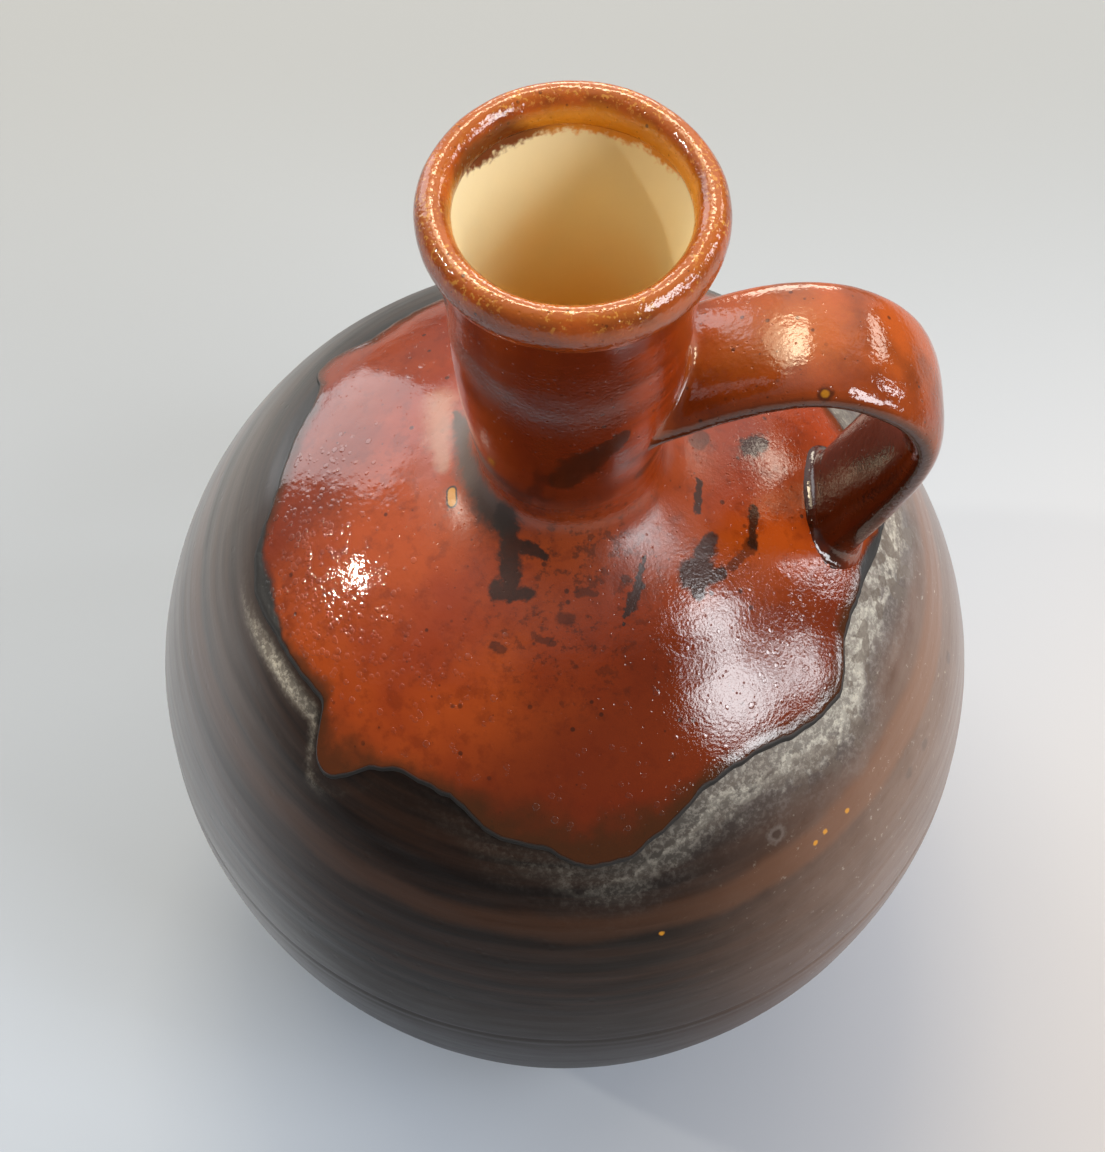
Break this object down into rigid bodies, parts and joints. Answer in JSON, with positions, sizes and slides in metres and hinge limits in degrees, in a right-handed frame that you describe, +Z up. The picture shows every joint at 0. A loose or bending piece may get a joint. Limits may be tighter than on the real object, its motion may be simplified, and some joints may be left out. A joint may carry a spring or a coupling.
{
  "type": "ceramic bottle",
  "caption": "Round-bellied stoneware bottle with a slender neck, rolled lip and strap handle, rust glaze poured over the shoulder above a dark matt belly.",
  "frame": {"origin": "middle of the flat underside of the foot", "axes": "+Z up along the axis of the thrown body and neck, +X towards the handle"},
  "size_m": [0.19, 0.19, 0.2684],
  "materials": {
    "stoneware_clay": "bare fired stoneware, matt and slightly gritty",
    "cream_liner_glaze": "cream lining glaze, soft gloss",
    "pewter_belly_glaze": "dark grey-brown satin-matt glaze with a pewter sheen",
    "rust_shoulder_glaze": "runny red-brown gloss glaze with iron spots",
    "amber_rim_glaze": "red-brown gloss glaze breaking to amber on the lip"
  },
  "bodies": {
    "root": {"body_wall": "stoneware_clay", "neck_collar": "stoneware_clay", "handle_strap": "stoneware_clay", "upper_luting": "stoneware_clay", "lower_luting": "stoneware_clay", "liner_glaze": "cream_liner_glaze", "belly_glaze": "pewter_belly_glaze", "shoulder_apron": "rust_shoulder_glaze", "neck_glaze": "rust_shoulder_glaze", "handle_glaze": "rust_shoulder_glaze", "rim_glaze": "amber_rim_glaze"}
  },
  "joints": []
}
